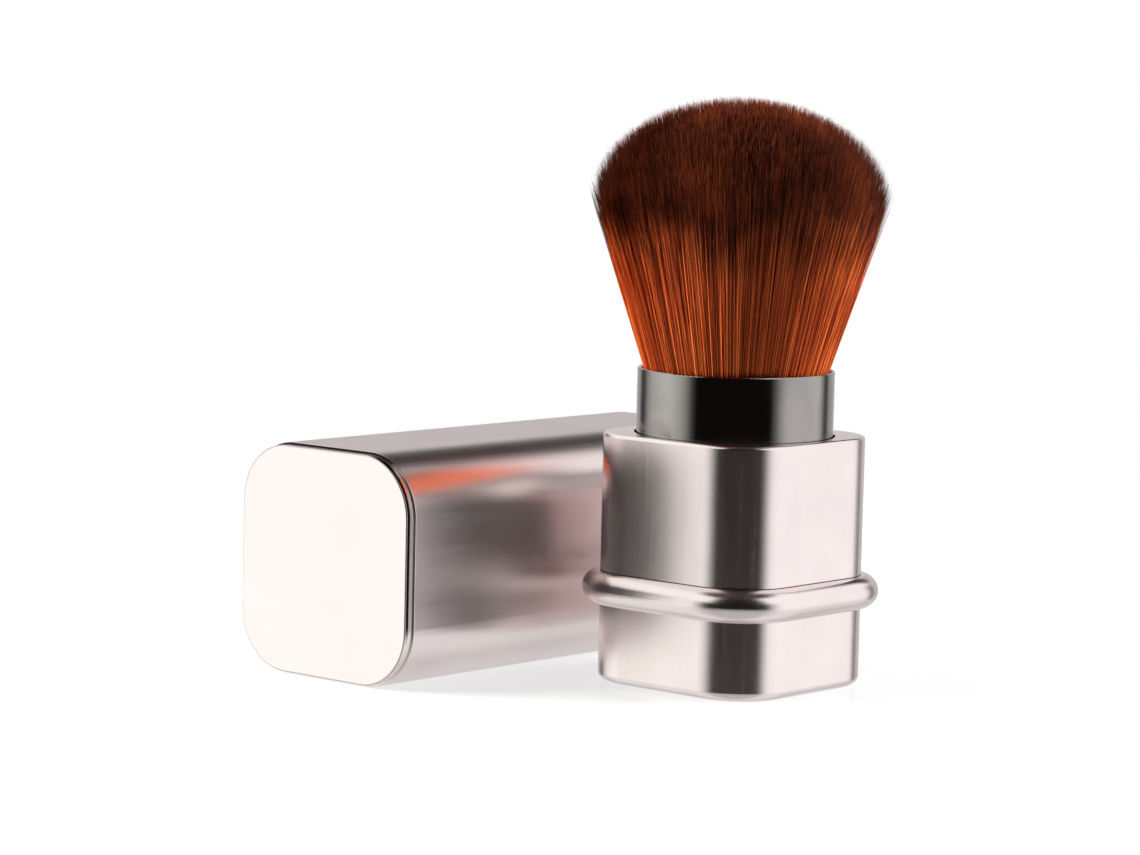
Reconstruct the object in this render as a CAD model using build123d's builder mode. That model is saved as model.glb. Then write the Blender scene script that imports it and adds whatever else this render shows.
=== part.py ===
from build123d import *
import os
from math import cos, pi, sin, sqrt

# Retractable makeup brush: a square aluminium base and collar, a square sleeve that slides up
# the ferrule to gather the bristles, and a square cap lying beside them.
# Millimetres, +Z up. The origin is the centre of the base's underside.

# Square metal body
body_side = 31.0
body_corner = 8.3
shell_wall = 0.6
base_height = 11.0
base_edge = 1.2
ring_height = 4.6
ring_proud = 2.5
sleeve_height = 19.52
sleeve_edge = 0.5

# Ferrule and tuft
ferrule_radius = 13.88
ferrule_wall = 0.55
ferrule_show = 9.15
ferrule_depth = 8.1
lip_round_share = 0.45
glue_height = 13.3
glue_below_lip = 4.05
backing_thickness = 1.0
tuft_radius = 12.9
head_radius = 21.0
cone_height = 23.25
dome_height = 14.4
strand_count = 320
strand_sides = 4
strand_radius = 0.52
golden_turn = pi * (3.0 - sqrt(5.0))
tip_taper_share = 0.75
strand_edge_share = 0.97
strand_uneven_share = 0.02
uneven_steps = 7
uneven_stride = 5

# Moulded inside of the base
insert_height = 4.4
weight_radius = 11.0
weight_height = 3.1
weight_edge = 0.3
core_wall = 1.6
core_rib = 1.2
rib_count = 4

# Guide posts of the core and their channels in the sleeve's liner
post_thickness = 1.8
post_width = 5.0
post_count = 4
post_turn = 45.0
barb_proud = 0.9
barb_height = 1.2
barb_lead = 0.85
ledge_height = 2.5

# Cap
cap_side = 32.7
cap_corner = 8.75
cap_length = 72.9
cap_wall = 0.7
cap_edge = 0.2
cap_from_ring = 3.27
cap_mouth_y = 29.1
plate_thickness = 1.4
plate_inset = 0.3
plate_edge = 0.15
plug_depth = 4.0
plug_wall = 1.4
plug_rib = 1.2

# Clearances
glue_gap = 0.05
press_gap = 0.02
seat_gap = 0.05
sleeve_gap = 0.08
slide_clearance = 0.2
hole_clearance = 0.3
rail_clearance = 0.15
post_gap = 0.12
post_top_gap = 0.2
weight_gap = 0.1

# Levels
ring_z = base_height
flange_z = ring_z + ring_height
sleeve_z = flange_z + sleeve_gap
sleeve_top_z = sleeve_z + sleeve_height
lip_z = sleeve_top_z + ferrule_show
liner_z = flange_z + seat_gap
insert_top_z = shell_wall + insert_height
socket_z = flange_z - ferrule_depth
glue_top_z = lip_z - glue_below_lip
glue_z = glue_top_z - glue_height
backing_top_z = glue_top_z + backing_thickness
post_top_z = sleeve_top_z - shell_wall - post_top_gap
dome_z = lip_z + cone_height

# Widths that follow from the sizes above
inner_side = body_side - 2 * shell_wall
inner_corner = body_corner - shell_wall
fill_side = inner_side - 2 * glue_gap
fill_corner = inner_corner - glue_gap
ring_side = body_side + 2 * ring_proud
ring_corner = body_corner + ring_proud
ferrule_bore = ferrule_radius - ferrule_wall
post_inner = ferrule_radius + post_gap
post_outer = post_inner + post_thickness
liner_bore = ferrule_radius + slide_clearance
channel_width = post_width + 2 * rail_clearance
channel_outer = post_outer + rail_clearance

os.makedirs("parts", exist_ok=True)


def write(built, name):
    """Label a finished piece and write it as its own STEP file."""
    built.part.label = name
    export_step(built.part, "parts/" + name + ".step")


def radial_bars(inner, outer, width, mode=Mode.ADD):
    """Four bars across the body's corners, from one radius to another, in the open sketch."""
    with PolarLocations((inner + outer) / 2, post_count, start_angle=post_turn):
        Rectangle(outer - inner, width, mode=mode)


# Base: a drawn cup, filled by a moulded insert that holds a steel weight
with BuildPart() as base_shell:
    with BuildSketch():
        RectangleRounded(body_side, body_side, body_corner)
    extrude(amount=base_height)
    fillet(base_shell.faces().sort_by(Axis.Z)[0].edges(), base_edge)
    offset(amount=-shell_wall, openings=base_shell.faces().sort_by(Axis.Z)[-1])
write(base_shell, "base_shell")

with BuildPart() as base_insert:
    with BuildSketch(Plane.XY.offset(shell_wall)):
        RectangleRounded(fill_side, fill_side, fill_corner)
    extrude(amount=insert_height)
    chamfer(base_insert.faces().sort_by(Axis.Z)[0].edges(), base_edge - shell_wall)
    with BuildSketch(Plane.XY.offset(insert_top_z)):
        Circle(weight_radius + weight_gap)
    extrude(amount=-weight_height, mode=Mode.SUBTRACT)
write(base_insert, "base_insert")

with BuildPart() as base_weight:
    with BuildSketch(Plane.XY.offset(insert_top_z - weight_height)):
        Circle(weight_radius)
    extrude(amount=weight_height)
    chamfer(base_weight.edges().filter_by(GeomType.CIRCLE), weight_edge)
write(base_weight, "base_weight")

# Half-round collar on the base's rim, which the cap stops against
with BuildPart() as collar_ring:
    with BuildSketch(Plane.XY.offset(ring_z)):
        RectangleRounded(ring_side, ring_side, ring_corner)
    extrude(amount=ring_height)
    rims = collar_ring.faces().sort_by(Axis.Z)
    fillet(rims[0].edges() + rims[-1].edges(), min(ring_height / 2, ring_proud) - press_gap)
    with BuildSketch(Plane.XY.offset(ring_z)):
        RectangleRounded(inner_side, inner_side, inner_corner)
    extrude(amount=ring_height, mode=Mode.SUBTRACT)
write(collar_ring, "collar_ring")

# Core: fills the collar, holds the ferrule in a round groove, and guides the sleeve on four
# corner posts. The barbs at their tops stop the sleeve at the end of its stroke.
with BuildPart() as guide_core:
    with BuildSketch(Plane.XY.offset(insert_top_z)):
        RectangleRounded(fill_side, fill_side, fill_corner)
    extrude(amount=flange_z - insert_top_z)
    with BuildSketch(Plane.XY.offset(socket_z)):
        Circle(ferrule_radius + press_gap)
        Circle(ferrule_bore - press_gap, mode=Mode.SUBTRACT)
    extrude(amount=ferrule_depth, mode=Mode.SUBTRACT)
    with BuildSketch(Plane.XY.offset(flange_z)):
        Circle(ferrule_bore - press_gap)
    extrude(amount=glue_z - flange_z)
    with BuildSketch(Plane.XY.offset(insert_top_z)):
        Circle(ferrule_bore - press_gap - core_wall)
    extrude(amount=glue_z - core_wall - insert_top_z, mode=Mode.SUBTRACT)
    with BuildSketch(Plane.XY.offset(insert_top_z)):
        with PolarLocations(0, rib_count):
            Rectangle(ferrule_bore - core_wall, core_rib, align=(Align.MIN, Align.CENTER))
    extrude(amount=glue_z - core_wall - insert_top_z)
    with BuildSketch(Plane.XY.offset(flange_z)):
        radial_bars(post_inner, post_outer, post_width)
    extrude(amount=post_top_z - flange_z)
    with BuildSketch(Plane.XY.offset(post_top_z)):
        radial_bars(post_inner, post_outer + barb_proud, post_width)
    extrude(amount=-barb_height)
    barb_tops = guide_core.faces().group_by(Axis.Z)[-1]
    lead_ins = [top.edges().sort_by_distance((0, 0, post_top_z))[-1] for top in barb_tops]
    chamfer(lead_ins, barb_lead)
write(guide_core, "guide_core")

# Ferrule: a plain tube, rounded at its lip, with the tuft potted in glue inside it
with BuildPart() as ferrule:
    with BuildSketch(Plane.XY.offset(socket_z)):
        Circle(ferrule_radius)
        Circle(ferrule_bore, mode=Mode.SUBTRACT)
    extrude(amount=lip_z - socket_z)
    fillet(ferrule.faces().sort_by(Axis.Z)[-1].edges(), ferrule_wall * lip_round_share)
write(ferrule, "ferrule")

with BuildPart() as tuft_glue:
    with BuildSketch(Plane.XY.offset(glue_z)):
        Circle(ferrule_bore - press_gap)
    extrude(amount=glue_height)
write(tuft_glue, "tuft_glue")


def dome_share(share):
    """How high, as a share of the dome, the strand stands that starts at this share of the radius."""
    growth = (1 - tuft_radius / head_radius) * dome_height / cone_height
    square = (share * growth) ** 2 + 1
    half = share**2 * growth
    return (sqrt(half**2 - square * (share**2 - 1)) - half) / square


def make_strand(number):
    """One four-sided bristle, straight from the slice of glue to the dome."""
    share = strand_edge_share * sqrt((number + 0.5) / strand_count)
    turn = number * golden_turn
    uneven = number * uneven_stride % uneven_steps / uneven_steps
    tip_z = dome_z + dome_height * dome_share(share)
    tip_z -= (tip_z - lip_z) * strand_uneven_share * uneven
    with BuildPart() as strand:
        for height, taper in ((backing_top_z, 1), (tip_z, tip_taper_share)):
            spread = 1 + (head_radius / tuft_radius - 1) * (height - lip_z) / cone_height
            reach = share * tuft_radius * spread
            with BuildSketch(Plane.XY.offset(height)):
                with Locations((reach * cos(turn), reach * sin(turn))):
                    RegularPolygon(strand_radius * spread * taper, strand_sides)
        loft(ruled=True)
    return strand.part.solid()


# Bristles: strands set in a spiral, so that none cross, and fused at their roots to the slice
# of glue that they stand on
with BuildPart() as backing:
    with BuildSketch(Plane.XY.offset(glue_top_z)):
        Circle(ferrule_bore - press_gap)
    extrude(amount=backing_thickness)

strands = [make_strand(number) for number in range(strand_count)]
tuft = backing.part.solid().fuse(*strands, glue=True)

with BuildPart() as bristles:
    add(tuft)
write(bristles, "bristles")

# Sleeve: a square aluminium cup with a round hole for the ferrule, lined by a moulding whose
# corner channels run on the core's posts
with BuildPart() as sleeve_shell:
    with BuildSketch(Plane.XY.offset(sleeve_z)):
        RectangleRounded(body_side, body_side, body_corner)
    extrude(amount=sleeve_height)
    fillet(sleeve_shell.faces().sort_by(Axis.Z)[-1].edges(), sleeve_edge)
    with BuildSketch(Plane.XY.offset(sleeve_z)):
        RectangleRounded(inner_side, inner_side, inner_corner)
    extrude(amount=sleeve_height - shell_wall, mode=Mode.SUBTRACT)
    with BuildSketch(Plane.XY.offset(sleeve_top_z)):
        Circle(ferrule_radius + hole_clearance)
    extrude(amount=-sleeve_height, mode=Mode.SUBTRACT)
write(sleeve_shell, "sleeve_shell")

with BuildPart() as sleeve_liner:
    with BuildSketch(Plane.XY.offset(liner_z)):
        RectangleRounded(fill_side, fill_side, fill_corner)
        Circle(liner_bore, mode=Mode.SUBTRACT)
        radial_bars(ferrule_radius, channel_outer, channel_width, Mode.SUBTRACT)
    extrude(amount=sleeve_top_z - shell_wall - liner_z)
    with BuildSketch(Plane.XY.offset(liner_z + ledge_height)):
        radial_bars(ferrule_radius, channel_outer + barb_proud, channel_width)
    extrude(amount=sleeve_height, mode=Mode.SUBTRACT)
write(sleeve_liner, "sleeve_liner")

# Cap: a square tube on its side, closed by a polished plate on a moulded plug
cap_x = -(ring_side / 2 + cap_from_ring + cap_side / 2)
cap_end = (cap_x, cap_mouth_y - cap_length, cap_side / 2)
cap_plane = Plane(origin=cap_end, x_dir=(1, 0, 0), z_dir=(0, 1, 0))
cap_bore = cap_side - 2 * cap_wall
plate_side = cap_side - 2 * plate_inset
plug_side = cap_bore - 2 * glue_gap

with BuildPart() as cap_tube:
    with BuildSketch(cap_plane.offset(plate_thickness)):
        RectangleRounded(cap_side, cap_side, cap_corner)
        RectangleRounded(cap_bore, cap_bore, cap_corner - cap_wall, mode=Mode.SUBTRACT)
    extrude(amount=cap_length - plate_thickness)
    for end in (0, -1):
        rim = cap_tube.faces().sort_by(Axis.Y)[end]
        fillet(rim.outer_wire().edges(), cap_edge)
write(cap_tube, "cap_tube")

with BuildPart() as cap_end_plate:
    with BuildSketch(cap_plane):
        RectangleRounded(plate_side, plate_side, cap_corner - plate_inset)
    extrude(amount=plate_thickness)
    fillet(cap_end_plate.faces().sort_by(Axis.Y)[0].edges(), plate_edge)
write(cap_end_plate, "cap_end_plate")

with BuildPart() as cap_end_plug:
    with BuildSketch(cap_plane.offset(plate_thickness)):
        RectangleRounded(plug_side, plug_side, cap_corner - cap_wall - glue_gap)
    extrude(amount=plug_depth)
    with BuildSketch(cap_plane.offset(plate_thickness)):
        hollow_side = plug_side - 2 * plug_wall
        RectangleRounded(hollow_side, hollow_side, cap_corner - cap_wall - glue_gap - plug_wall)
        Rectangle(plug_side, plug_rib, mode=Mode.SUBTRACT)
        Rectangle(plug_rib, plug_side, mode=Mode.SUBTRACT)
    extrude(amount=plug_depth - plug_wall, mode=Mode.SUBTRACT)
write(cap_end_plug, "cap_end_plug")
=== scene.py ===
import math

import bpy
from mathutils import Matrix, Vector


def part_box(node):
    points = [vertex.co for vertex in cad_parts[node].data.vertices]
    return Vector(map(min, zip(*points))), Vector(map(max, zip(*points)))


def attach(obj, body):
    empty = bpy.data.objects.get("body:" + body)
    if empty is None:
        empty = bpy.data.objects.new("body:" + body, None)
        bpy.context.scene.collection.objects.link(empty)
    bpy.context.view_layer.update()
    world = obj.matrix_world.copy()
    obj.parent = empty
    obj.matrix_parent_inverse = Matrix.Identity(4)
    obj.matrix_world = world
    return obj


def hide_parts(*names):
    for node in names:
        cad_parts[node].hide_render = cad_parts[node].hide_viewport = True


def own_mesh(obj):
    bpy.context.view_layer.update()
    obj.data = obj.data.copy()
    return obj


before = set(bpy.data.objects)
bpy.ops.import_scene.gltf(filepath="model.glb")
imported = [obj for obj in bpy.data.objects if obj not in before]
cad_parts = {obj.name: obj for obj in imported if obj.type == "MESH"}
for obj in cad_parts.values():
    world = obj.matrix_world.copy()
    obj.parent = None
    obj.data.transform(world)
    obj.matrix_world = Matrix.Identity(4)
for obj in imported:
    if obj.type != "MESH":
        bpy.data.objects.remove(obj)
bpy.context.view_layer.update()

# Looks of a retractable makeup brush and its cap. Lengths are in metres, turns in degrees.
mm = 0.001
white = (1.0, 1.0, 1.0)
noiseRange = (0.3, 0.7)  # most values of a noise texture lie between these
noiseMiddle = 0.5
print("brush: frame loaded,", len(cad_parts), "nodes")


def setInput(tree, socket, value):
    # value is a plain value or another node's output
    if isinstance(value, bpy.types.NodeSocket):
        tree.links.new(value, socket)
    else:
        socket.default_value = value


def addNode(tree, kind, inputs=None, **settings):
    # inputs are by socket name or number
    node = tree.nodes.new(kind)
    for name, value in settings.items():
        setattr(node, name, value)
    for name, value in (inputs or {}).items():
        setInput(tree, node.inputs[name], value)
    return node


def calc(tree, operation, *values):
    return addNode(tree, "ShaderNodeMath", dict(enumerate(values)), operation=operation).outputs[0]


def calcVector(tree, operation, *values):
    node = addNode(tree, "ShaderNodeVectorMath", dict(enumerate(values)), operation=operation)
    return node.outputs["Value" if operation in ("DOT_PRODUCT", "LENGTH") else "Vector"]


def scaleVector(tree, vector, factor):
    return addNode(tree, "ShaderNodeVectorMath", {0: vector, "Scale": factor}, operation="SCALE").outputs[0]


def splitAxes(tree, vector):
    return addNode(tree, "ShaderNodeSeparateXYZ", {0: vector}).outputs


def joinAxes(tree, x=0.0, y=0.0, z=0.0):
    return addNode(tree, "ShaderNodeCombineXYZ", {0: x, 1: y, 2: z}).outputs[0]


def rescale(tree, value, low, high, newLow, newHigh, smooth=False):
    return addNode(tree, "ShaderNodeMapRange", {"Value": value, 1: low, 2: high, 3: newLow, 4: newHigh},
                   interpolation_type="SMOOTHSTEP" if smooth else "LINEAR").outputs[0]


def addNoise(tree, vector, scale, detail=2.0, **more):
    # more may hold roughness and distortion
    inputs = {"Vector": vector, "Scale": scale, "Detail": detail}
    inputs.update((name.capitalize(), value) for name, value in more.items())
    return addNode(tree, "ShaderNodeTexNoise", inputs).outputs[0]


def blendColor(tree, factor, first, second):
    return addNode(tree, "ShaderNodeMix", {0: factor, 6: first, 7: second}, data_type="RGBA").outputs[2]


def mixShaders(tree, factor, first, second):
    return addNode(tree, "ShaderNodeMixShader", {0: factor, 1: first, 2: second}).outputs[0]


def rgba(color, scale=1.0):
    return (color[0] * scale, color[1] * scale, color[2] * scale, 1.0)


def newGroup(name, inputs, outputs):
    # a shader node group with named sockets; returns its tree, input node and output node
    tree = bpy.data.node_groups.new(name, "ShaderNodeTree")
    for socketName, kind, value in inputs:
        socket = tree.interface.new_socket(socketName, in_out="INPUT", socket_type="NodeSocket" + kind)
        if value is not None:
            socket.default_value = value
    for socketName, kind in outputs:
        tree.interface.new_socket(socketName, in_out="OUTPUT", socket_type="NodeSocket" + kind)
    return tree, tree.nodes.new("NodeGroupInput"), tree.nodes.new("NodeGroupOutput")


def useGroup(tree, group, **values):
    # values are by socket name, without its spaces and with a small first letter
    node = tree.nodes.new("ShaderNodeGroup")
    node.node_tree = group
    for socket in node.inputs:
        key = socket.name.replace(" ", "")
        key = key[0].lower() + key[1:]
        if key in values:
            setInput(tree, socket, values[key])
    return node


def newMaterial(name):
    material = bpy.data.materials.new(name)
    material.use_nodes = True
    tree = material.node_tree
    shader = tree.nodes["Principled BSDF"]
    place = addNode(tree, "ShaderNodeTexCoord").outputs["Object"]
    return material, tree, shader, place


def dressShader(tree, shader, color, roughness, *bumps, metallic=0.0):
    # each bump is (height, strength, distance) and lies on the one before it
    normal = None
    for height, strength, distance in bumps:
        inputs = {"Height": height, "Strength": strength, "Distance": distance}
        if normal is not None:
            inputs["Normal"] = normal
        normal = addNode(tree, "ShaderNodeBump", inputs).outputs[0]
    tree.links.new(color, shader.inputs["Base Color"])
    tree.links.new(roughness, shader.inputs["Roughness"])
    tree.links.new(normal, shader.inputs["Normal"])
    shader.inputs["Metallic"].default_value = metallic


# Metal surface: blasted grain, draw lines along one direction, and slow clouding
surfaceLook = {
    "grainScale": 5200.0,
    "grainDetail": 3.0,
    "grainRoughness": 0.6,
    "lineScale": 1500.0,
    "lineDetail": 2.0,
    "lineRoughness": 0.55,
    "cloudScale": 120.0,
}


def makeMetalSurface():
    look = surfaceLook
    tree, given, result = newGroup(
        "metalSurface",
        [("Vector", "Vector", None), ("Grain Scale", "Float", look["grainScale"]),
         ("Line Stretch", "Vector", None), ("Line Scale", "Float", look["lineScale"]),
         ("Cloud Scale", "Float", look["cloudScale"])],
        [("Grain", "Float"), ("Lines", "Float"), ("Clouds", "Float")])
    place = given.outputs["Vector"]
    stretched = calcVector(tree, "MULTIPLY", place, given.outputs["Line Stretch"])
    grain = addNoise(tree, place, given.outputs["Grain Scale"], look["grainDetail"],
                     roughness=look["grainRoughness"])
    lines = addNoise(tree, stretched, given.outputs["Line Scale"], look["lineDetail"],
                     roughness=look["lineRoughness"])
    clouds = addNoise(tree, place, given.outputs["Cloud Scale"])
    for name, value in (("Grain", grain), ("Lines", lines), ("Clouds", clouds)):
        tree.links.new(value, result.inputs[name])
    return tree


# Handling marks: soft smudges broken by fine wiping streaks
smudgeLook = {
    "scale": 90.0,
    "amount": 0.5,
    "patchRange": (0.42, 0.68),
    "patchDetail": 4.0,
    "patchDistortion": 0.6,
    "streakStretch": (1.0, 6.0, 3.0),
    "streakScale": 6.0,            # times the scale of the patches
    "streakAmount": (0.4, 1.0),
}


def makeSmudges():
    look = smudgeLook
    tree, given, result = newGroup(
        "smudges",
        [("Vector", "Vector", None), ("Scale", "Float", look["scale"]), ("Amount", "Float", look["amount"])],
        [("Mask", "Float")])
    place, scale = given.outputs["Vector"], given.outputs["Scale"]
    patches = addNoise(tree, place, scale, look["patchDetail"], distortion=look["patchDistortion"])
    streaks = addNoise(tree, calcVector(tree, "MULTIPLY", place, look["streakStretch"]),
                       calc(tree, "MULTIPLY", scale, look["streakScale"]))
    mask = calc(tree, "MULTIPLY", rescale(tree, patches, *look["patchRange"], 0.0, 1.0, True),
                rescale(tree, streaks, *noiseRange, *look["streakAmount"]))
    tree.links.new(calc(tree, "MULTIPLY", mask, given.outputs["Amount"]), result.inputs["Mask"])
    return tree


metalSurface = makeMetalSurface()
smudges = makeSmudges()

# In the looks, a bump is its strength and its height
satinLook = {
    "color": (0.93, 0.845, 0.83),
    "shade": (0.84, 0.745, 0.735),
    "cloudShare": 0.5,             # part of the shading that is clouds; the rest is grain
    "shadeRange": (0.35, 0.62),
    "shadeAmount": 0.55,
    "bodyLines": (1.0, 1.0, 0.03),  # draw lines run where the stretch is small
    "capLines": (1.0, 0.03, 1.0),
    "bodyRoughness": 0.235,
    "capRoughness": 0.32,
    "grainRoughness": 0.03,
    "grainBump": (0.35, 0.0026 * mm),
    "lineBump": (0.3, 0.0006 * mm),
    # painted shade: a dark band along the top of the cap tube's front rim, under the end plate
    "rimColor": (0.012, 0.011, 0.01),
    "rimDepth": 0.05 * mm,
    "rimDrop": (2.4 * mm, 1.2 * mm),
}


def makeSatin(name, lineStretch, roughness, rimNode=None):
    # fine-blasted anodised aluminium. If a node is given, the top of its front rim gets painted shade,
    # a painted shadow line where the end plate stands off from it.
    look = satinLook
    material, tree, shader, place = newMaterial(name)
    surface = useGroup(tree, metalSurface, vector=place, lineStretch=lineStretch)
    grain, lines, clouds = (surface.outputs[key] for key in ("Grain", "Lines", "Clouds"))
    tone = calc(tree, "ADD", calc(tree, "MULTIPLY", clouds, look["cloudShare"]),
                calc(tree, "MULTIPLY", grain, 1.0 - look["cloudShare"]))
    shade = rescale(tree, tone, *look["shadeRange"], look["shadeAmount"], 0.0, True)
    color = blendColor(tree, shade, rgba(look["color"]), rgba(look["shade"]))
    # painted shade along the top of the front rim
    if rimNode:
        low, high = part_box(rimNode)
        axes = splitAxes(tree, place)
        front = rescale(tree, axes["Y"], low.y + look["rimDepth"], low.y + 2 * look["rimDepth"], 1.0, 0.0)
        upper = rescale(tree, axes["Z"], high.z - look["rimDrop"][0], high.z - look["rimDrop"][1], 0.0, 1.0)
        color = blendColor(tree, calc(tree, "MULTIPLY", front, upper), color, rgba(look["rimColor"]))
    vary = look["grainRoughness"]
    spread = calc(tree, "ADD", rescale(tree, grain, *noiseRange, -vary, vary),
                  rescale(tree, lines, *noiseRange, -vary / 2, vary / 2))
    dressShader(tree, shader, color, calc(tree, "ADD", spread, roughness),
                (grain, *look["grainBump"]), (lines, *look["lineBump"]), metallic=1.0)
    return material


plateLook = {
    "color": (0.95, 0.885, 0.873),
    "cloudShade": 0.965,           # how light the clouds are, as a share of the colour
    "cloudRange": (0.35, 0.65),
    "cloudAmount": 0.35,
    "edgeColor": (0.62, 0.56, 0.55),
    "edgeWidth": 0.26 * mm,
    "corner": 8.45 * mm,
    # painted shade: a dark line on the plate's side wall for the gap behind it, left off near the bottom
    "wallColor": (0.012, 0.011, 0.01),
    "wallDepth": 0.16 * mm,        # the painted shade line round the wall runs from wallDepth to wallBack
    "wallBack": 0.62 * mm,
    "wallFade": (0.8, 1.15),       # and fades out at these shares of the two
    "wallFrom": (6.5 * mm, 9.5 * mm),
    "roughness": 0.24,
    "wallRoughness": 0.3,
    "markRoughness": 0.05,
    "lineBump": (0.08, 0.004 * mm),
    "surface": {"lineStretch": (1.0, 1.0, 0.05), "lineScale": 2200.0, "cloudScale": 70.0},
    "marks": {"scale": 110.0, "amount": 0.6},
}


def outlineDistance(tree, place, low, high, corner):
    # distance from the rounded outline of a plate that faces -Y, negative inside it
    middle, half = (low + high) / 2, (high - low) / 2
    core = (half.x - corner, 0.0, half.z - corner)
    away = calcVector(tree, "ABSOLUTE", calcVector(tree, "SUBTRACT", place, tuple(middle)))
    away = calcVector(tree, "SUBTRACT", calcVector(tree, "MULTIPLY", away, (1.0, 0.0, 1.0)), core)
    outside = calcVector(tree, "LENGTH", calcVector(tree, "MAXIMUM", away, (0.0, 0.0, 0.0)))
    axes = splitAxes(tree, away)
    inside = calc(tree, "MINIMUM", calc(tree, "MAXIMUM", axes["X"], axes["Z"]), 0.0)
    return calc(tree, "SUBTRACT", calc(tree, "ADD", outside, inside), corner)


def makePlate():
    # softly polished end plate with a painted shade line round the upper part of its side wall
    look = plateLook
    material, tree, shader, place = newMaterial("polishedPlate")
    low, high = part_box("cap_end_plate")
    axes = splitAxes(tree, place)
    depth, back = look["wallDepth"], look["wallBack"]
    wall = rescale(tree, axes["Y"], low.y + depth * look["wallFade"][0], low.y + depth, 0.0, 1.0)
    # painted shade: a dark line on the side wall, faded out towards the bottom, where the wall catches light
    line = rescale(tree, axes["Y"], low.y + back, low.y + back * look["wallFade"][1], 1.0, 0.0)
    line = calc(tree, "MULTIPLY", calc(tree, "MULTIPLY", wall, line),
                rescale(tree, axes["Z"], *look["wallFrom"], 0.0, 1.0, True))
    toEdge = outlineDistance(tree, place, low, high, look["corner"])
    edge = rescale(tree, toEdge, -look["edgeWidth"], -look["edgeWidth"] / 2, 0.0, 1.0, True)
    surface = useGroup(tree, metalSurface, vector=place, **look["surface"])
    marks = useGroup(tree, smudges, vector=place, **look["marks"])
    clouds = rescale(tree, surface.outputs["Clouds"], *look["cloudRange"], 0.0, look["cloudAmount"])
    face = blendColor(tree, clouds, rgba(look["color"]), rgba(look["color"], look["cloudShade"]))
    face = blendColor(tree, edge, face, rgba(look["edgeColor"]))
    side = blendColor(tree, wall, face, rgba(satinLook["color"]))
    color = blendColor(tree, line, side, rgba(look["wallColor"]))
    rough = calc(tree, "ADD", rescale(tree, wall, 0.0, 1.0, look["roughness"], look["wallRoughness"]),
                 calc(tree, "MULTIPLY", marks.outputs[0], look["markRoughness"]))
    dressShader(tree, shader, color, rough, (surface.outputs["Lines"], *look["lineBump"]), metallic=1.0)
    return material


ferruleLook = {
    "color": (0.37, 0.355, 0.345),
    "markColor": (0.31, 0.30, 0.295),
    "roughness": 0.1,
    "markRoughness": 0.06,
    "lineBump": (0.06, 0.004 * mm),
    "surface": {"lineStretch": (1.0, 1.0, 0.03), "lineScale": 2600.0},
    "marks": {"scale": 140.0, "amount": 0.8},
}


def makeFerrule():
    # black nickel plate over a drawn tube: mirror bright, with the faintest draw lines and smudges
    look = ferruleLook
    material, tree, shader, place = newMaterial("blackNickel")
    surface = useGroup(tree, metalSurface, vector=place, **look["surface"])
    marks = useGroup(tree, smudges, vector=place, **look["marks"])
    color = blendColor(tree, marks.outputs[0], rgba(look["color"]), rgba(look["markColor"]))
    rough = calc(tree, "ADD", look["roughness"],
                 calc(tree, "MULTIPLY", marks.outputs[0], look["markRoughness"]))
    dressShader(tree, shader, color, rough, (surface.outputs["Lines"], *look["lineBump"]), metallic=1.0)
    return material


mouldingLook = {
    "dark": (0.012, 0.012, 0.013),
    "light": (0.022, 0.021, 0.021),
    "worn": (0.035, 0.034, 0.034),
    "roughness": (0.42, 0.6),
    "grainBump": (0.35, 0.015 * mm),
    "surface": {"grainScale": 4200.0, "cloudScale": 90.0},
    "marks": {"scale": 200.0, "amount": 0.7},
}


def makeMoulding():
    # black moulded plastic with a spark-eroded skin and slightly worn high spots
    look = mouldingLook
    material, tree, shader, place = newMaterial("blackMoulding")
    surface = useGroup(tree, metalSurface, vector=place, **look["surface"])
    marks = useGroup(tree, smudges, vector=place, **look["marks"])
    clouds = rescale(tree, surface.outputs["Clouds"], *noiseRange, 0.0, 1.0)
    color = blendColor(tree, clouds, rgba(look["dark"]), rgba(look["light"]))
    color = blendColor(tree, marks.outputs[0], color, rgba(look["worn"]))
    rough = rescale(tree, surface.outputs["Grain"], *noiseRange, *look["roughness"])
    dressShader(tree, shader, color, rough, (surface.outputs["Grain"], *look["grainBump"]))
    return material


steelLook = {
    "dark": (0.42, 0.41, 0.40),
    "light": (0.6, 0.59, 0.57),
    "ringScale": 4200.0,
    "roughness": (0.25, 0.42),
    "ringBump": (0.4, 0.01 * mm),
}


def makeSteel():
    # turned slug, with tool rings round its axis
    look = steelLook
    material, tree, shader, place = newMaterial("turnedSteel")
    radius = calcVector(tree, "LENGTH", calcVector(tree, "MULTIPLY", place, (1.0, 1.0, 0.0)))
    rings = addNoise(tree, joinAxes(tree, radius), look["ringScale"])
    color = blendColor(tree, rings, rgba(look["dark"]), rgba(look["light"]))
    rough = rescale(tree, rings, *noiseRange, *look["roughness"])
    dressShader(tree, shader, color, rough, (rings, *look["ringBump"]), metallic=1.0)
    return material


glueLook = {
    "color": (0.45, 0.22, 0.05),
    "bubbleColor": (0.68, 0.42, 0.16),
    "bubbleScale": 900.0,
    "bubbleSize": (0.1, 0.3),
    "roughness": (0.18, 0.35),
    "bubbleBump": (0.3, 0.05 * mm),
}


def makeGlue():
    # amber potting glue with small bubbles
    look = glueLook
    material, tree, shader, place = newMaterial("amberGlue")
    bubbles = addNode(tree, "ShaderNodeTexVoronoi", {"Vector": place, "Scale": look["bubbleScale"]})
    spot = rescale(tree, bubbles.outputs["Distance"], *look["bubbleSize"], 1.0, 0.0, True)
    color = blendColor(tree, spot, rgba(look["color"]), rgba(look["bubbleColor"]))
    rough = rescale(tree, spot, 0.0, 1.0, *look["roughness"])
    dressShader(tree, shader, color, rough, (spot, *look["bubbleBump"]))
    return material


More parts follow.
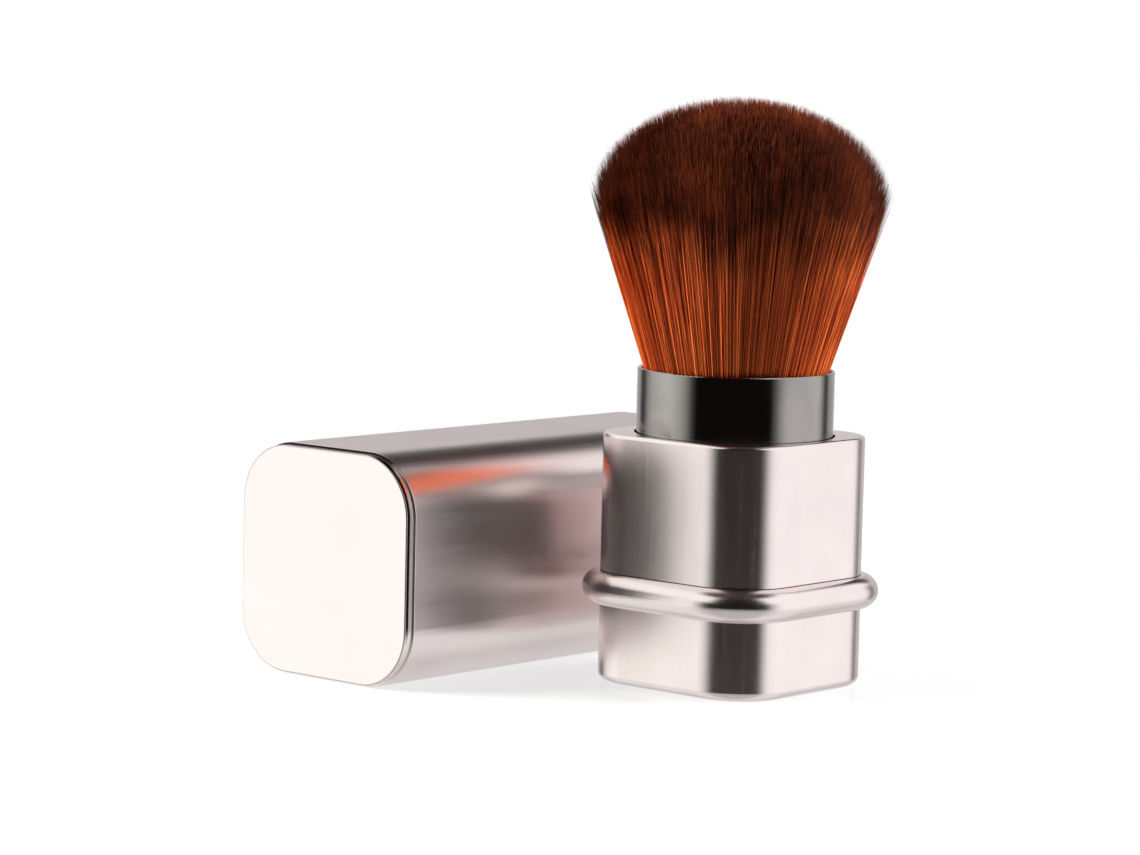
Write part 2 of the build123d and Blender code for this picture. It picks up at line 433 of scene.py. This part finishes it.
bristleLook = {
    "root": (0.17, 0.0165, 0.005),
    "bright": (0.61, 0.122, 0.027),
    "tip": (0.024, 0.0042, 0.0025),
    # painted glow: the very end of each hair is made lighter and redder, for light shining through the tips
    # at the outline
    "fringe": (0.28, 0.066, 0.028),
    "fringeDepth": 1.3 * mm,
    "fringeShare": 0.5,
    "dipDeep": 13.0 * mm,          # the dyed tips are full strength above dipFull and gone below dipDeep
    "dipFull": 2.0 * mm,
    "dipSpread": 8.0 * mm,         # how far the depth of the dye varies, by hair and by patch
    "mottleScale": 160.0,
    "mottleDetail": 1.0,
    "shine": 0.08,
    "roughness": (0.38, 0.55),
    "skinScale": 9000.0,
    "skinBump": (0.1, 0.004 * mm),
}


def makeBristleMaterial():
    # dyed synthetic hair: each hair has its own tone, and its tip is dipped dark; a painted glow lightens the
    # very end of the tip
    look = bristleLook
    material, tree, shader, place = newMaterial("bristleHair")
    tone = addNode(tree, "ShaderNodeAttribute", attribute_name="tone").outputs["Fac"]
    toTip = addNode(tree, "ShaderNodeAttribute", attribute_name="tipDistance").outputs["Fac"]
    shifted = toTip
    for vary in (tone, addNoise(tree, place, look["mottleScale"], look["mottleDetail"])):
        shift = calc(tree, "MULTIPLY", calc(tree, "SUBTRACT", vary, noiseMiddle), look["dipSpread"])
        shifted = calc(tree, "ADD", shifted, shift)
    dip = rescale(tree, shifted, look["dipFull"], look["dipDeep"], 1.0, 0.0, True)
    hair = blendColor(tree, tone, rgba(look["root"]), rgba(look["bright"]))
    color = blendColor(tree, dip, hair, rgba(look["tip"]))
    # painted glow at the very end of each tip
    fringe = rescale(tree, toTip, 0.0, look["fringeDepth"], look["fringeShare"], 0.0)
    color = blendColor(tree, fringe, color, rgba(look["fringe"]))
    rough = rescale(tree, tone, 0.0, 1.0, *look["roughness"])
    dressShader(tree, shader, color, rough, (addNoise(tree, place, look["skinScale"]), *look["skinBump"]))
    shader.inputs["Specular IOR Level"].default_value = look["shine"]
    return material


# painted shade: the heart is coloured darker than the hairs, for the shade inside the tuft
heartLook = {
    "lowDark": (0.05, 0.01, 0.003),
    "lowLight": (0.22, 0.045, 0.01),
    "highDark": (0.008, 0.003, 0.002),
    "highLight": (0.03, 0.009, 0.006),
    "highFrom": (58.0 * mm, 70.0 * mm),
    "streakStretch": (1.0, 1.0, 0.04),
    "streakScale": 3500.0,
    "roughness": (0.55, 0.8),
    "streakBump": (0.8, 0.1 * mm),
}


def makeHeartMaterial():
    # what shows between the hairs: the mass of hairs behind them, in painted shade: darker than the hairs,
    # and darker still near the top, where the tips are dyed
    look = heartLook
    material, tree, shader, place = newMaterial("packedHair")
    streaks = addNoise(tree, calcVector(tree, "MULTIPLY", place, look["streakStretch"]), look["streakScale"])
    top = rescale(tree, splitAxes(tree, place)["Z"], *look["highFrom"], 0.0, 1.0, True)
    low = blendColor(tree, streaks, rgba(look["lowDark"]), rgba(look["lowLight"]))
    high = blendColor(tree, streaks, rgba(look["highDark"]), rgba(look["highLight"]))
    rough = rescale(tree, streaks, *noiseRange, *look["roughness"])
    dressShader(tree, shader, blendColor(tree, top, low, high), rough, (streaks, *look["streakBump"]))
    return material


bodySatin = makeSatin("bodySatin", satinLook["bodyLines"], satinLook["bodyRoughness"])
capSatin = makeSatin("capSatin", satinLook["capLines"], satinLook["capRoughness"], "cap_tube")
nodeMaterials = {
    "base_shell": bodySatin, "collar_ring": bodySatin, "sleeve_shell": bodySatin, "cap_tube": capSatin,
    "cap_end_plate": makePlate(), "ferrule": makeFerrule(), "base_weight": makeSteel(),
    "tuft_glue": makeGlue(),
}
moulding = makeMoulding()
for nodeName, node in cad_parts.items():
    for slot in node.material_slots:
        slot.material = nodeMaterials.get(nodeName, moulding)
print("brush: materials made")


# Bristles: fine hairs from the glue in the ferrule to the dome, in wedges
tuft = {
    "wedges": 12,
    "hairs": 4600,
    "rings": 5,                    # points along each hair
    "sides": 3,
    "rootHeight": 41.5 * mm,
    "rootRadius": 12.15 * mm,
    "headRadius": 20.9 * mm,
    "headHeight": 67.8 * mm,
    "domeHeight": 14.7 * mm,
    "innerShare": 0.02,
    "hairRadius": 0.052 * mm,
    "thinFrom": 0.55,              # part of its length from which a hair thins
    "tipTaper": 0.15,
    "lengthLoss": 2.4 * mm,
    "lossPower": 1.2,              # above 1, more hairs reach nearly full length
    "tipScatter": 0.6 * mm,
    "clumpSize": 1.0 * mm,
    "clumpDetail": 1.0,
    "clumpPull": 0.4 * mm,
    "wholeFrom": (0.72, 0.8),      # hairs further out than this part of the radius start at the glue
    "deepest": 16.0 * mm,          # and the others this far below the dome
    "gather": 0.915,
    "seed": 11,
    "seedStep": 10,
}


def makeBristleTree(material):
    tree = bpy.data.node_groups.new("bristleWedge", "GeometryNodeTree")
    tree.interface.new_socket("Geometry", in_out="INPUT", socket_type="NodeSocketGeometry")
    tree.interface.new_socket("Geometry", in_out="OUTPUT", socket_type="NodeSocketGeometry")
    names = {
        "Hairs": ("Int", tuft["hairs"]), "Rings": ("Int", tuft["rings"]), "Seed": ("Int", tuft["seed"]),
        "Wedge Start": ("Float", 0.0), "Wedge Angle": ("Float", 2 * math.pi / tuft["wedges"]),
        "Root Height": ("Float", tuft["rootHeight"]), "Root Radius": ("Float", tuft["rootRadius"]),
        "Head Radius": ("Float", tuft["headRadius"]), "Head Height": ("Float", tuft["headHeight"]),
        "Dome Height": ("Float", tuft["domeHeight"]), "Inner Share": ("Float", tuft["innerShare"]),
        "Hair Radius": ("Float", tuft["hairRadius"]), "Tip Taper": ("Float", tuft["tipTaper"]),
        "Length Loss": ("Float", tuft["lengthLoss"]), "Loss Power": ("Float", tuft["lossPower"]),
        "Tip Scatter": ("Float", tuft["tipScatter"]), "Clump Size": ("Float", tuft["clumpSize"]),
        "Clump Pull": ("Float", tuft["clumpPull"]), "Deepest": ("Float", tuft["deepest"]),
    }
    for name, (kind, value) in names.items():
        tree.interface.new_socket(name, in_out="INPUT", socket_type="NodeSocket" + kind).default_value = value
    given = tree.nodes.new("NodeGroupInput").outputs
    index = addNode(tree, "GeometryNodeInputIndex").outputs[0]

    def chance(offset, low=0.0, high=1.0):
        seed = calc(tree, "ADD", given["Seed"], float(offset))
        return addNode(tree, "FunctionNodeRandomValue", {2: low, 3: high, "ID": index, "Seed": seed},
                       data_type="FLOAT").outputs[1]

    def store(geometry, name, value):
        return addNode(tree, "GeometryNodeStoreNamedAttribute",
                       {"Geometry": geometry, "Name": name, "Value": value},
                       data_type="FLOAT", domain="POINT").outputs[0]

    def read(name):
        return addNode(tree, "GeometryNodeInputNamedAttribute", {"Name": name}, data_type="FLOAT").outputs[0]

    # one point for each hair, with its place in the tuft and its own chances
    inner = calc(tree, "MULTIPLY", given["Inner Share"], given["Inner Share"])
    square = calc(tree, "ADD", inner, calc(tree, "MULTIPLY", chance(0), calc(tree, "SUBTRACT", 1.0, inner)))
    geometry = addNode(tree, "GeometryNodePoints", {"Count": given["Hairs"]}).outputs[0]
    geometry = store(geometry, "share", calc(tree, "SQRT", square))
    geometry = store(geometry, "turn", calc(tree, "ADD", given["Wedge Start"],
                                            calc(tree, "MULTIPLY", chance(1), given["Wedge Angle"])))
    geometry = store(geometry, "tone", chance(2))
    geometry = store(geometry, "loss", chance(3))
    geometry = store(geometry, "scatterAcross", chance(4, -1.0, 1.0))
    geometry = store(geometry, "scatterOut", chance(5, -1.0, 1.0))
    line = addNode(tree, "GeometryNodeCurvePrimitiveLine").outputs[0]
    line = addNode(tree, "GeometryNodeResampleCurve", {"Curve": line, "Count": given["Rings"]}).outputs[0]
    hairs = addNode(tree, "GeometryNodeInstanceOnPoints", {"Points": geometry, "Instance": line}).outputs[0]
    hairs = addNode(tree, "GeometryNodeRealizeInstances", {"Geometry": hairs}).outputs[0]

    # each hair is a straight line from the glue to its place on the dome
    share, turn = read("share"), read("turn")
    along = addNode(tree, "GeometryNodeSplineParameter").outputs["Factor"]
    rise = calc(tree, "SQRT", calc(tree, "SUBTRACT", 1.0, calc(tree, "MULTIPLY", share, share)))
    domeTop = calc(tree, "ADD", given["Head Height"], calc(tree, "MULTIPLY", rise, given["Dome Height"]))
    fullLength = calc(tree, "SUBTRACT", domeTop, given["Root Height"])
    lost = calc(tree, "MULTIPLY", calc(tree, "POWER", read("loss"), given["Loss Power"]),
                given["Length Loss"])
    endShare = calc(tree, "SUBTRACT", 1.0, calc(tree, "DIVIDE", lost, fullLength))
    hidden = calc(tree, "SUBTRACT", 1.0, calc(tree, "DIVIDE", given["Deepest"], fullLength))
    inside = rescale(tree, share, *tuft["wholeFrom"], 1.0, 0.0)
    startShare = calc(tree, "MULTIPLY", inside, calc(tree, "MAXIMUM", hidden, 0.0))
    shown = calc(tree, "SUBTRACT", endShare, startShare)
    part = calc(tree, "ADD", startShare, calc(tree, "MULTIPLY", along, shown))
    height = calc(tree, "ADD", given["Root Height"], calc(tree, "MULTIPLY", part, fullLength))
    flare = calc(tree, "SUBTRACT", given["Head Radius"], given["Root Radius"])
    spread = calc(tree, "ADD", given["Root Radius"], calc(tree, "MULTIPLY", part, flare))
    reach = calc(tree, "MULTIPLY", share, spread)
    cosine, sine = calc(tree, "COSINE", turn), calc(tree, "SINE", turn)
    across = joinAxes(tree, cosine, sine)
    sideways = joinAxes(tree, calc(tree, "MULTIPLY", sine, -1.0), cosine)

    # the tips wander a little, each by itself and in small clumps
    headPlace = scaleVector(tree, across, calc(tree, "MULTIPLY", share, given["Head Radius"]))
    clump = addNode(tree, "ShaderNodeTexNoise", {
        "Vector": headPlace, "Scale": calc(tree, "DIVIDE", 1.0, given["Clump Size"]),
        "Detail": tuft["clumpDetail"]})
    wander = calc(tree, "MULTIPLY", part, part)
    pull = calc(tree, "MULTIPLY", wander, calc(tree, "DIVIDE", given["Clump Pull"], noiseMiddle))
    clumpShift = calcVector(tree, "SUBTRACT", clump.outputs["Color"], (noiseMiddle,) * 3)
    clumpShift = scaleVector(tree, clumpShift, pull)
    scatter = calc(tree, "MULTIPLY", wander, given["Tip Scatter"])
    outShift = calc(tree, "MULTIPLY", scatter, read("scatterOut"))
    sideShift = calc(tree, "MULTIPLY", scatter, read("scatterAcross"))
    place = scaleVector(tree, across, calc(tree, "ADD", reach, outShift))
    for shift in (scaleVector(tree, sideways, sideShift), clumpShift, joinAxes(tree, z=height)):
        place = calcVector(tree, "ADD", place, shift)
    hairs = addNode(tree, "GeometryNodeSetPosition", {"Geometry": hairs, "Position": place}).outputs[0]

    # thickness along the hair, then a tube with few sides
    thinning = rescale(tree, along, tuft["thinFrom"], 1.0, 1.0, 0.0)
    taper = calc(tree, "MULTIPLY", calc(tree, "SUBTRACT", 1.0, given["Tip Taper"]), thinning)
    taper = calc(tree, "ADD", given["Tip Taper"], taper)
    toTip = calc(tree, "MULTIPLY", calc(tree, "SUBTRACT", 1.0, part), fullLength)
    hairs = store(hairs, "tipDistance", toTip)
    profile = addNode(tree, "GeometryNodeCurvePrimitiveCircle", {
        "Resolution": tuft["sides"], "Radius": 1.0}).outputs[0]
    mesh = addNode(tree, "GeometryNodeCurveToMesh", {
        "Curve": hairs, "Profile Curve": profile, "Fill Caps": True,
        "Scale": calc(tree, "MULTIPLY", taper, given["Hair Radius"])}).outputs[0]
    mesh = addNode(tree, "GeometryNodeSetShadeSmooth", {"Geometry": mesh}).outputs[0]
    mesh = addNode(tree, "GeometryNodeRealizeInstances", {"Geometry": mesh}).outputs[0]
    mesh = addNode(tree, "GeometryNodeSetMaterial", {"Geometry": mesh, "Material": material}).outputs[0]
    tree.links.new(mesh, tree.nodes.new("NodeGroupOutput").inputs[0])
    return tree


def makeWedge(number, tree):
    # one wedge of the tuft as a plain mesh
    source = bpy.data.objects.new("wedgeSource", bpy.data.meshes.new("wedgeSource"))
    bpy.context.scene.collection.objects.link(source)
    modifier = source.modifiers.new("hairs", "NODES")
    modifier.node_group = tree
    values = {"Wedge Start": 2 * math.pi * number / tuft["wedges"],
              "Seed": tuft["seed"] + tuft["seedStep"] * number}
    for item in tree.interface.items_tree:
        if item.item_type == "SOCKET" and item.name in values:
            modifier[item.identifier] = values[item.name]
    evaluated = source.evaluated_get(bpy.context.evaluated_depsgraph_get())
    mesh = bpy.data.meshes.new_from_object(evaluated)
    bpy.data.objects.remove(source)
    for name in ("share", "turn", "loss", "scatterAcross", "scatterOut"):
        if name in mesh.attributes:
            mesh.attributes.remove(mesh.attributes[name])
    wedge = bpy.data.objects.new(f"bristleWedge{number + 1:02d}", mesh)
    bpy.context.scene.collection.objects.link(wedge)
    return wedge


bristleTree = makeBristleTree(makeBristleMaterial())
faceCount = 0
for number in range(tuft["wedges"]):
    wedge = makeWedge(number, bristleTree)
    faceCount += len(wedge.data.polygons)
    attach(wedge, "handle")
    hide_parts("bristles")
    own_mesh(wedge)
print("brush: bristles made,", faceCount, "faces")


# Packed heart of the tuft, just under the outer hairs
heart = {
    "steps": 48,
    "rows": 16,
    "headShare": 0.77,             # its radius at the head, as a part of the tuft's
    "rootShare": 0.8,
    "below": 3.4 * mm,
    "pole": 0.001 * mm,            # a ring smaller than this is a single point
}


def makeHeart():
    profile = [(0.0, tuft["rootHeight"]), (tuft["rootRadius"] * heart["rootShare"], tuft["rootHeight"])]
    wide = tuft["headRadius"] * heart["headShare"]
    rim = tuft["headHeight"] - heart["below"]
    for row in range(heart["rows"] + 1):
        angle = math.pi / 2 * row / heart["rows"]
        profile.append((wide * math.cos(angle), rim + tuft["domeHeight"] * math.sin(angle)))
    vertices, faces, rings = [], [], []
    for radius, height in profile:
        if radius < heart["pole"]:
            rings.append([len(vertices)])
            vertices.append((0.0, 0.0, height))
            continue
        rings.append(list(range(len(vertices), len(vertices) + heart["steps"])))
        for step in range(heart["steps"]):
            turn = 2 * math.pi * step / heart["steps"]
            vertices.append((radius * math.cos(turn), radius * math.sin(turn), height))
    for lower, upper in zip(rings, rings[1:]):
        for step in range(heart["steps"]):
            after = (step + 1) % heart["steps"]
            corners = [lower[step % len(lower)], lower[after % len(lower)],
                       upper[after % len(upper)], upper[step % len(upper)]]
            faces.append(list(dict.fromkeys(corners)))
    mesh = bpy.data.meshes.new("bristleHeart")
    mesh.from_pydata(vertices, [], faces)
    mesh.shade_smooth()
    mesh.materials.append(makeHeartMaterial())
    piece = bpy.data.objects.new("bristleHeart", mesh)
    bpy.context.scene.collection.objects.link(piece)
    return piece


heartPiece = makeHeart()
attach(heartPiece, "handle")
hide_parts("bristles")
print("brush: heart of the tuft made")


# Studio: panels to the left and right, a dark front, ceiling and upper back, which the metal
# reflects, on a white floor. Each view list holds (turn from -Y towards +X, level, tint).
studio = {
    "tints": {"cream": (1.0, 0.99, 0.955), "pink": (1.0, 0.975, 0.99), "plain": (1.0, 0.99, 0.985),
              "rose": (1.0, 0.96, 0.965), "dark": (1.0, 0.66, 0.62)},
    "lowView": [
        (-110, 0.5, "plain"), (-103, 0.12, "plain"), (-94, 0.1, "plain"), (-84, 0.6, "cream"),
        (-74, 0.95, "cream"), (-60, 1.12, "cream"), (-50, 1.2, "cream"), (-40, 1.1, "cream"),
        (-33, 0.94, "cream"), (-26, 0.74, "cream"), (-19, 0.44, "cream"), (-12.5, 0.1, "plain"),
        (-7, 0.01, "dark"), (81, 0.01, "dark"), (88, 0.28, "pink"), (95, 0.72, "pink"),
        (102, 1.0, "pink"), (116, 1.06, "pink"), (152, 1.06, "pink"), (160, 0.6, "plain"),
        (166, 0.14, "plain"), (172, 0.12, "plain"), (180, 0.55, "rose"), (195, 0.6, "rose"),
        (219, 0.73, "rose"), (235, 0.6, "rose"), (250, 0.5, "plain"),
    ],
    "highView": [
        (-110, 1.05, "cream"), (-10, 1.05, "cream"), (3, 0.01, "dark"), (78, 0.01, "dark"),
        (90, 1.06, "pink"), (174, 1.06, "pink"), (185, 0.01, "dark"), (222, 0.01, "dark"),
        (236, 1.0, "plain"), (250, 1.05, "cream"),
    ],
    "viewStart": -110.0,
    "highFrom": (0.3, 0.46),       # the sine of the height at which one view turns into the next
    "ceilingFrom": (0.82, 0.92),
    "ceilingLevel": 0.03,
    "underFrom": (-0.37, -0.27),
    "underLevel": 0.74,
    "underShare": 0.7,
    "hairShare": 0.6,              # part of the panels' light that the hairs get; the lamps add theirs
    "floorSize": 4.0,
    "floorDrop": 0.02 * mm,
    "floorFade": (0.12, 0.3),
    "floorReflection": 0.15,
    "floorRoughness": 0.04,
    "floorShadow": 0.2,
    "floorBounce": 0.35,           # how light the floor is for the hairs, which it lights from below
}


def towards(turn):
    return (math.sin(math.radians(turn)), -math.cos(math.radians(turn)), 0.0)


def viewRamp(tree, turn, stops):
    # the colours round the studio at one height, from turn as a share of the full circle
    ramp = addNode(tree, "ShaderNodeValToRGB", {"Fac": turn})
    elements = ramp.color_ramp.elements
    while len(elements) < len(stops):
        elements.new(1.0)
    for element, (angle, level, tint) in zip(elements, stops):
        element.position = (angle - studio["viewStart"]) / 360.0
        element.color = rgba(studio["tints"][tint], level)
    return ramp.outputs[0]


def makeWorld():
    world = bpy.data.worlds.new("studio")
    world.use_nodes = True
    bpy.context.scene.world = world
    tree = world.node_tree
    tree.nodes.clear()
    axes = splitAxes(tree, addNode(tree, "ShaderNodeTexCoord").outputs["Generated"])
    angle = calc(tree, "ARCTAN2", axes["X"], calc(tree, "MULTIPLY", axes["Y"], -1.0))
    fromStart = calc(tree, "ADD", angle, 2 * math.pi - math.radians(studio["viewStart"]))
    turn = calc(tree, "FRACT", calc(tree, "DIVIDE", fromStart, 2 * math.pi))
    low = viewRamp(tree, turn, studio["lowView"])
    high = viewRamp(tree, turn, studio["highView"])
    toHigh = rescale(tree, axes["Z"], *studio["highFrom"], 0.0, 1.0, True)
    toCeiling = rescale(tree, axes["Z"], *studio["ceilingFrom"], 0.0, 1.0, True)
    toUnder = rescale(tree, axes["Z"], *studio["underFrom"], 1.0, 0.0, True)
    under = blendColor(tree, studio["underShare"], low, rgba(white, studio["underLevel"]))
    color = blendColor(tree, toHigh, low, high)
    color = blendColor(tree, toCeiling, color, rgba(white, studio["ceilingLevel"]))
    color = blendColor(tree, toUnder, color, under)
    path = addNode(tree, "ShaderNodeLightPath")
    strength = rescale(tree, path.outputs["Is Diffuse Ray"], 0.0, 1.0, 1.0, studio["hairShare"])
    lit = addNode(tree, "ShaderNodeBackground", {"Color": color, "Strength": strength}).outputs[0]
    seen = addNode(tree, "ShaderNodeBackground", {"Color": rgba(white)}).outputs[0]
    shown = mixShaders(tree, path.outputs["Is Camera Ray"], lit, seen)
    tree.links.new(shown, addNode(tree, "ShaderNodeOutputWorld").inputs[0])


def makeFloor():
    # white where the camera sees it, with a trace of shadow and reflection near the brush; the
    # metal looks through it at the studio
    half = studio["floorSize"] / 2
    mesh = bpy.data.meshes.new("floor")
    mesh.from_pydata([(-half, -half, 0), (half, -half, 0), (half, half, 0), (-half, half, 0)], [],
                     [(0, 1, 2, 3)])
    floor = bpy.data.objects.new("floor", mesh)
    floor.location.z = -studio["floorDrop"]
    bpy.context.scene.collection.objects.link(floor)
    material = bpy.data.materials.new("whiteFloor")
    material.use_nodes = True
    tree = material.node_tree
    tree.nodes.clear()
    place = addNode(tree, "ShaderNodeTexCoord").outputs["Object"]
    fade = rescale(tree, calcVector(tree, "LENGTH", place), *studio["floorFade"], 0.0, 1.0, True)
    path = addNode(tree, "ShaderNodeLightPath")
    lit = addNode(tree, "ShaderNodeBsdfDiffuse", {"Color": rgba(white)}).outputs[0]
    bounce = addNode(tree, "ShaderNodeBsdfDiffuse", {
        "Color": rgba(white, studio["floorBounce"])}).outputs[0]
    plain = addNode(tree, "ShaderNodeEmission", {"Color": rgba(white)}).outputs[0]
    mirror = addNode(tree, "ShaderNodeBsdfGlossy", {"Roughness": studio["floorRoughness"]}).outputs[0]
    clear = tree.nodes.new("ShaderNodeBsdfTransparent").outputs[0]
    seen = mixShaders(tree, studio["floorShadow"], plain, lit)
    seen = mixShaders(tree, studio["floorReflection"], seen, mirror)
    seen = mixShaders(tree, fade, seen, plain)
    through = calc(tree, "MAXIMUM", path.outputs["Is Glossy Ray"], path.outputs["Is Transmission Ray"])
    other = mixShaders(tree, through, bounce, clear)
    shown = mixShaders(tree, path.outputs["Is Camera Ray"], other, seen)
    tree.links.new(shown, addNode(tree, "ShaderNodeOutputMaterial").inputs[0])
    mesh.materials.append(material)


lamps = {
    "leftPanel": {"turn": -46.0, "lift": 22.0, "distance": 0.9, "size": 0.5, "watts": 38.0,
                  "color": (1.0, 0.97, 0.93)},
    "rightPanel": {"turn": 143.0, "lift": 20.0, "distance": 0.9, "size": 0.5, "watts": 26.0,
                   "color": (1.0, 0.985, 0.98)},
}


def makeLamps():
    for name, values in lamps.items():
        light = bpy.data.lights.new(name, "AREA")
        light.energy, light.size, light.color = values["watts"], values["size"], values["color"]
        lamp = bpy.data.objects.new(name, light)
        lift = math.radians(values["lift"])
        away = Vector(towards(values["turn"])) * math.cos(lift) + Vector((0, 0, math.sin(lift)))
        lamp.location = away * values["distance"]
        lamp.rotation_euler = away.to_track_quat("Z", "Y").to_euler()
        lamp.visible_glossy = False
        bpy.context.scene.collection.objects.link(lamp)


# Camera: placed by fitting the body, the ferrule and the cap to the photograph
view = {
    "distance": 0.54345, "height": 0.09201, "turn": 38.889, "pan": 2.444, "pitch": 5.946, "roll": 1.311,
    "focalPixels": 3876.5, "imageWidth": 1140.0, "sensor": 36.0, "clip": (0.01, 20.0),
}


def makeCamera():
    data = bpy.data.cameras.new("camera")
    data.sensor_width = view["sensor"]
    data.lens = view["sensor"] * view["focalPixels"] / view["imageWidth"]
    data.clip_start, data.clip_end = view["clip"]
    camera = bpy.data.objects.new("camera", data)
    bpy.context.scene.collection.objects.link(camera)
    place = Vector(towards(view["turn"])) * view["distance"] + Vector((0, 0, view["height"]))
    camera.matrix_world = (Matrix.Translation(place)
                           @ Matrix.Rotation(math.radians(view["turn"] + view["pan"]), 4, "Z")
                           @ Matrix.Rotation(math.radians(90.0 - view["pitch"]), 4, "X")
                           @ Matrix.Rotation(math.radians(view["roll"]), 4, "Z"))
    bpy.context.scene.camera = camera


makeWorld()
makeFloor()
makeLamps()
makeCamera()
bpy.context.scene.view_settings.view_transform = "Standard"
print("brush: studio and camera made")
